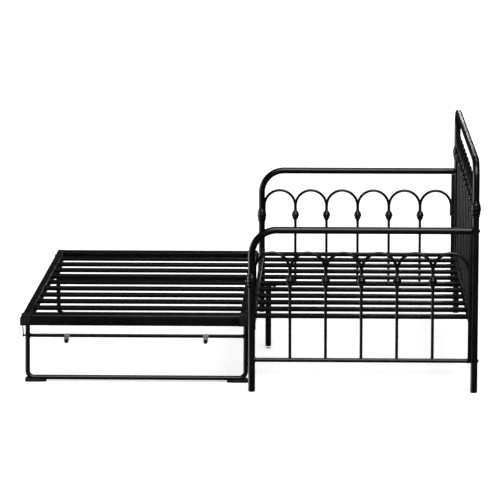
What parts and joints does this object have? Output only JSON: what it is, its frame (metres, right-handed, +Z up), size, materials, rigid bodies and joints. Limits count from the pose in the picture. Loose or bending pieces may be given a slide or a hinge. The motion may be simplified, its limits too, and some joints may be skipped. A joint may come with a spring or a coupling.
{
  "type": "trundle bed",
  "caption": "Metal daybed with arched spindle arms and back, and a pop-up trundle bed on folding, castered legs raised beside it.",
  "frame": {"origin": "on the floor, under the middle of the whole object with the trundle raised", "axes": "+X along the bed's length, +Y from the trundle to the back panel, +Z up"},
  "size_m": [2.047, 2.1046, 1.076],
  "materials": {
    "black_steel": "satin",
    "slat_steel": "satin",
    "bolt_steel": "satin",
    "zinc_steel": "satin",
    "wheel_plastic": "matte",
    "pad_plastic": "matte",
    "glide_plastic": "matte"
  },
  "bodies": {
    "daybed": {"near_arm_tube": "black_steel", "near_arm_grille": "black_steel", "near_upper_arm_bolt": "bolt_steel", "near_lower_arm_bolt": "bolt_steel", "far_arm_tube": "black_steel", "far_arm_grille": "black_steel", "far_upper_arm_bolt": "bolt_steel", "far_lower_arm_bolt": "bolt_steel", "back_tube": "black_steel", "back_grille": "black_steel", "front_rail": "black_steel", "back_rail": "black_steel", "daybed_slat_1": "slat_steel", "daybed_slat_2": "slat_steel", "daybed_slat_3": "slat_steel", "daybed_slat_4": "slat_steel", "daybed_slat_5": "slat_steel", "daybed_slat_6": "slat_steel", "daybed_slat_7": "slat_steel", "daybed_slat_8": "slat_steel", "daybed_slat_9": "slat_steel", "daybed_slat_10": "slat_steel", "daybed_middle_bar": "slat_steel", "middle_leg": "black_steel", "middle_leg_glide": "glide_plastic"},
    "trundle_frame": {"trundle_front_rail": "black_steel", "trundle_back_rail": "black_steel", "trundle_near_end_rail": "black_steel", "trundle_far_end_rail": "black_steel", "trundle_slat_1": "slat_steel", "trundle_slat_2": "slat_steel", "trundle_slat_3": "slat_steel", "trundle_slat_4": "slat_steel", "trundle_slat_5": "slat_steel", "trundle_slat_6": "slat_steel", "trundle_slat_7": "slat_steel", "trundle_slat_8": "slat_steel", "trundle_slat_9": "slat_steel", "trundle_slat_10": "slat_steel", "trundle_middle_bar": "slat_steel"},
    "near_fold_leg": {"near_leg": "black_steel", "near_front_foot_pad": "pad_plastic", "near_back_foot_pad": "pad_plastic"},
    "far_fold_leg": {"far_leg": "black_steel", "far_front_foot_pad": "pad_plastic", "far_back_foot_pad": "pad_plastic"},
    "near_front_lock_link": {"near_front_link": "black_steel"},
    "near_back_lock_link": {"near_back_link": "black_steel"},
    "far_front_lock_link": {"far_front_link": "black_steel"},
    "far_back_lock_link": {"far_back_link": "black_steel"},
    "near_front_caster": {"near_front_caster_fork": "zinc_steel"},
    "near_back_caster": {"near_back_caster_fork": "zinc_steel"},
    "far_front_caster": {"far_front_caster_fork": "zinc_steel"},
    "far_back_caster": {"far_back_caster_fork": "zinc_steel"},
    "near_front_wheel": {"near_front_caster_wheel": "wheel_plastic"},
    "near_back_wheel": {"near_back_caster_wheel": "wheel_plastic"},
    "far_front_wheel": {"far_front_caster_wheel": "wheel_plastic"},
    "far_back_wheel": {"far_back_caster_wheel": "wheel_plastic"}
  },
  "joints": [
    {"name": "trundle_lower", "type": "slide", "parent": "daybed", "child": "trundle_frame", "axis": [0, 0, -1], "range_m": [0, 0.214]},
    {"name": "near_leg_fold", "type": "hinge", "parent": "trundle_frame", "child": "near_fold_leg", "pos_m": [0.766, -0.52225, 0.272], "axis": [0, 1, 0], "range_deg": [0, 97.72]},
    {"name": "far_leg_fold", "type": "hinge", "parent": "trundle_frame", "child": "far_fold_leg", "pos_m": [-0.766, -0.52225, 0.272], "axis": [0, -1, 0], "range_deg": [0, 97.72]},
    {"name": "near_front_link_turn", "type": "hinge", "parent": "near_fold_leg", "child": "near_front_lock_link", "pos_m": [0.77415, -1.04575, 0.2115], "axis": [0, -1, 0], "range_deg": [0, 49.77]},
    {"name": "near_back_link_turn", "type": "hinge", "parent": "near_fold_leg", "child": "near_back_lock_link", "pos_m": [0.77415, 0.00125, 0.2115], "axis": [0, -1, 0], "range_deg": [0, 49.77]},
    {"name": "far_front_link_turn", "type": "hinge", "parent": "far_fold_leg", "child": "far_front_lock_link", "pos_m": [-0.77415, -1.04575, 0.2115], "axis": [0, 1, 0], "range_deg": [0, 49.77]},
    {"name": "far_back_link_turn", "type": "hinge", "parent": "far_fold_leg", "child": "far_back_lock_link", "pos_m": [-0.77415, 0.00125, 0.2115], "axis": [0, 1, 0], "range_deg": [0, 49.77]},
    {"name": "near_front_caster_swivel", "type": "hinge", "parent": "near_fold_leg", "child": "near_front_caster", "pos_m": [0.77415, -0.84425, 0.2115], "axis": [0.9911, 0, 0.1334], "continuous": true},
    {"name": "near_front_wheel_spin", "type": "hinge", "parent": "near_front_caster", "child": "near_front_wheel", "pos_m": [0.82141, -0.84425, 0.19768], "axis": [0, 1, 0], "continuous": true},
    {"name": "near_back_caster_swivel", "type": "hinge", "parent": "near_fold_leg", "child": "near_back_caster", "pos_m": [0.77415, -0.20025, 0.2115], "axis": [0.9911, 0, 0.1334], "continuous": true},
    {"name": "near_back_wheel_spin", "type": "hinge", "parent": "near_back_caster", "child": "near_back_wheel", "pos_m": [0.82141, -0.20025, 0.19768], "axis": [0, 1, 0], "continuous": true},
    {"name": "far_front_caster_swivel", "type": "hinge", "parent": "far_fold_leg", "child": "far_front_caster", "pos_m": [-0.77415, -0.84425, 0.2115], "axis": [-0.9911, 0, 0.1334], "continuous": true},
    {"name": "far_front_wheel_spin", "type": "hinge", "parent": "far_front_caster", "child": "far_front_wheel", "pos_m": [-0.82141, -0.84425, 0.19768], "axis": [0, 1, 0], "continuous": true},
    {"name": "far_back_caster_swivel", "type": "hinge", "parent": "far_fold_leg", "child": "far_back_caster", "pos_m": [-0.77415, -0.20025, 0.2115], "axis": [-0.9911, 0, 0.1334], "continuous": true},
    {"name": "far_back_wheel_spin", "type": "hinge", "parent": "far_back_caster", "child": "far_back_wheel", "pos_m": [-0.82141, -0.20025, 0.19768], "axis": [0, 1, 0], "continuous": true}
  ],
  "couplings": [
    {"joint": "near_leg_fold", "follows": "trundle_lower", "rad_per_m": 7.9656},
    {"joint": "far_leg_fold", "follows": "trundle_lower", "rad_per_m": 7.9656},
    {"joint": "near_front_link_turn", "follows": "trundle_lower", "rad_per_m": 4.0549},
    {"joint": "near_back_link_turn", "follows": "trundle_lower", "rad_per_m": 4.0549},
    {"joint": "far_front_link_turn", "follows": "trundle_lower", "rad_per_m": 4.0549},
    {"joint": "far_back_link_turn", "follows": "trundle_lower", "rad_per_m": 4.0549}
  ]
}
